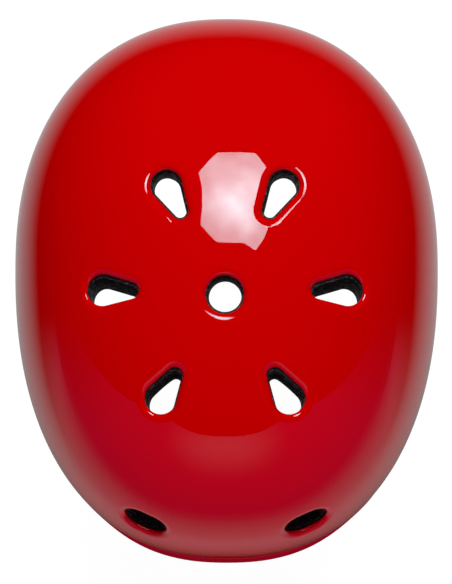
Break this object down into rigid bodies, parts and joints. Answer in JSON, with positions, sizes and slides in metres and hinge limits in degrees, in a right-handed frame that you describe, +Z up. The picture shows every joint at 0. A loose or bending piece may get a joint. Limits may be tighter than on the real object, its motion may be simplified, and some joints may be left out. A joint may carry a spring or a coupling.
{
  "type": "skate helmet",
  "caption": "Open-face hard-shell skate helmet: glossy vented shell over a foam liner with comfort pads, riveted webbing harness, strap dividers and side-release chin buckle.",
  "frame": {"origin": "on the middle plane, level with the lowest point of the rim at the nape, at the ear line, in the middle of the head opening", "axes": "+Z up towards the crown, -Y towards the brow (front), +X towards the wearer's left"},
  "size_m": [0.2206, 0.2845, 0.3517],
  "materials": {
    "shell_plastic": "gloss",
    "liner_foam": "matte",
    "pad_fabric": "matte",
    "hook_tape": "matte",
    "rivet_steel": "satin",
    "black_nylon": "satin",
    "webbing": "matte",
    "keeper_rubber": "matte"
  },
  "bodies": {
    "helmet": {"outer_shell": "shell_plastic", "foam_liner": "liner_foam", "brow_pad": "pad_fabric", "nape_pad": "pad_fabric", "left_side_pad": "pad_fabric", "right_side_pad": "pad_fabric", "crown_pad": "pad_fabric", "hook_patches": "hook_tape", "strap_rivets": "rivet_steel", "rivet_washers": "rivet_steel", "left_front_hanger": "black_nylon", "left_rear_hanger": "black_nylon", "right_front_hanger": "black_nylon", "right_rear_hanger": "black_nylon"},
    "left_harness": {"left_front_strap": "webbing", "left_rear_strap": "webbing"},
    "left_divider_body": {"left_divider": "black_nylon"},
    "socket": {"buckle_socket": "black_nylon"},
    "right_harness": {"right_front_strap": "webbing", "right_rear_strap": "webbing", "right_chin_strap": "webbing"},
    "right_divider_body": {"right_divider": "black_nylon"},
    "clip": {"buckle_clip": "black_nylon", "strap_tail": "webbing"},
    "front_prong_body": {"front_prong": "black_nylon"},
    "rear_prong_body": {"rear_prong": "black_nylon"},
    "keeper": {"strap_keeper": "keeper_rubber"}
  },
  "joints": [
    {"name": "left_harness_swing", "type": "hinge", "parent": "helmet", "child": "left_harness", "pos_m": [0.095, 0.0005, 0.006], "axis": [0, 1, 0], "range_deg": [-90, 26]},
    {"name": "left_divider_slide", "type": "slide", "parent": "left_harness", "child": "left_divider_body", "axis": [0, 0, -1], "range_m": [0, 0.015]},
    {"name": "socket_tilt", "type": "hinge", "parent": "left_harness", "child": "socket", "pos_m": [0.095, 0.0005, -0.124], "axis": [0, 1, 0], "range_deg": [-60, 60]},
    {"name": "right_harness_swing", "type": "hinge", "parent": "helmet", "child": "right_harness", "pos_m": [-0.095, 0.0005, 0.006], "axis": [0, -1, 0], "range_deg": [-90, 26]},
    {"name": "right_divider_slide", "type": "slide", "parent": "right_harness", "child": "right_divider_body", "axis": [0, 0, -1], "range_m": [0, 0.015]},
    {"name": "chin_length_slide", "type": "slide", "parent": "right_harness", "child": "clip", "axis": [0, 0, 1], "range_m": [0, 0.024], "deforming": ["right_chin_strap"]},
    {"name": "front_prong_flex", "type": "hinge", "parent": "clip", "child": "front_prong_body", "pos_m": [-0.09658, -0.0069, -0.168], "axis": [1, 0, 0], "range_deg": [0, 8], "stiffness_Nm_per_rad": 0.02},
    {"name": "rear_prong_flex", "type": "hinge", "parent": "clip", "child": "rear_prong_body", "pos_m": [-0.09658, 0.0079, -0.168], "axis": [-1, 0, 0], "range_deg": [0, 8], "stiffness_Nm_per_rad": 0.02},
    {"name": "keeper_slide", "type": "slide", "parent": "clip", "child": "keeper", "axis": [0, 0, 1], "range_m": [-0.012, 0.003]}
  ]
}
